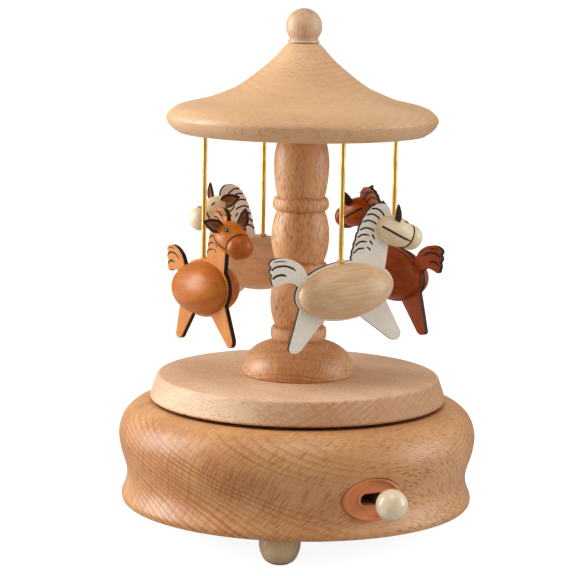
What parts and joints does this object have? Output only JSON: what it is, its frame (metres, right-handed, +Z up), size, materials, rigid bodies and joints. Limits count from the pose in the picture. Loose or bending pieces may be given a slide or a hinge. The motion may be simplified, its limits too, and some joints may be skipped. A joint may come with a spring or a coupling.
{
  "type": "carousel music box",
  "caption": "Turned wooden music box: a waisted round base with a slide switch and a wind-up movement, and a turntable with a column, a conical canopy and horses hung on brass poles.",
  "frame": {"origin": "on the floor plane, under the turntable's axis", "axes": "+Z up along the turntable's axis; the switch knob stands out halfway between +X and -Y"},
  "size_m": [0.1164, 0.1164, 0.1688],
  "materials": {
    "beech": "natural beech, satin clear coat",
    "maple": "pale turned wood, satin clear coat",
    "fibreboard": "plain pressed fibreboard",
    "brass": "polished brass",
    "steel": "bright steel",
    "cast_iron": "plated casting",
    "switch_plate": "satin moulded plate",
    "lever": "blackened rod",
    "knob": "glossy cream ball",
    "leather": "thin dark brown leather",
    "pale_board": "whitewashed thin board with burnt edges",
    "pale_body": "natural wood, satin clear coat",
    "pale_head": "cream stained wood, satin clear coat",
    "brown_board": "orange-brown stained thin board with burnt edges",
    "brown_body": "orange-brown stain, satin clear coat",
    "brown_head": "orange-brown stain, satin clear coat"
  },
  "bodies": {
    "base": {"base_housing": "beech", "bottom_cover": "fibreboard", "foot_1": "maple", "foot_2": "maple", "foot_3": "maple", "cover_screw_1": "steel", "cover_screw_2": "steel", "cover_screw_3": "steel", "switch_plate": "switch_plate", "movement_bedplate": "cast_iron", "spring_barrel": "steel", "comb": "steel", "comb_screw_1": "steel", "comb_screw_2": "steel", "governor_frame": "brass", "movement_screw_1": "steel", "movement_screw_2": "steel"},
    "turntable": {"winding_arbor": "steel", "drive_gear": "brass", "turntable_bush": "brass", "turntable_disc": "beech", "column_dome": "beech", "column_dowel": "maple", "column": "beech", "canopy": "beech", "finial_ball": "maple", "pole_1": "brass", "pole_2": "brass", "pole_3": "brass", "pole_4": "brass", "horse_1_board": "pale_board", "horse_1_body_left": "pale_body", "horse_1_body_right": "pale_body", "horse_1_head": "pale_head", "horse_1_ear_left": "leather", "horse_1_ear_right": "leather", "horse_2_board": "brown_board", "horse_2_body_left": "brown_body", "horse_2_body_right": "brown_body", "horse_2_head": "brown_head", "horse_2_ear_left": "leather", "horse_2_ear_right": "leather", "horse_3_board": "pale_board", "horse_3_body_left": "pale_body", "horse_3_body_right": "pale_body", "horse_3_head": "pale_head", "horse_3_ear_left": "leather", "horse_3_ear_right": "leather", "horse_4_board": "brown_board", "horse_4_body_left": "brown_body", "horse_4_body_right": "brown_body", "horse_4_head": "brown_head", "horse_4_ear_left": "leather", "horse_4_ear_right": "leather"},
    "cylinder": {"pin_cylinder": "brass", "cylinder_gear": "brass"},
    "governor_wheel": {"governor_wheel": "brass"},
    "governor": {"governor_fan": "steel"},
    "switch": {"switch_lever": "lever", "switch_knob": "knob"}
  },
  "joints": [
    {"name": "turntable_spin", "type": "hinge", "parent": "base", "child": "turntable", "pos_m": [0, 0, 0.042], "axis": [0, 0, 1], "continuous": true},
    {"name": "cylinder_spin", "type": "hinge", "parent": "base", "child": "cylinder", "pos_m": [0, 0, 0.0234], "axis": [0.1349, -0.9909, 0], "continuous": true},
    {"name": "governor_wheel_spin", "type": "hinge", "parent": "base", "child": "governor_wheel", "pos_m": [0.0109, 0.00148, 0.0234], "axis": [0.1349, -0.9909, 0], "continuous": true},
    {"name": "governor_spin", "type": "hinge", "parent": "base", "child": "governor", "pos_m": [0.01928, -0.01928, 0.0234], "axis": [0, 0, 1], "continuous": true},
    {"name": "switch_slide", "type": "slide", "parent": "base", "child": "switch", "axis": [0.7071, 0.7071, 0], "range_m": [-0.0044, 0]}
  ],
  "couplings": [
    {"joint": "cylinder_spin", "follows": "turntable_spin", "ratio": 3},
    {"joint": "governor_wheel_spin", "follows": "turntable_spin", "ratio": -13.5},
    {"joint": "governor_spin", "follows": "turntable_spin", "ratio": 216}
  ]
}
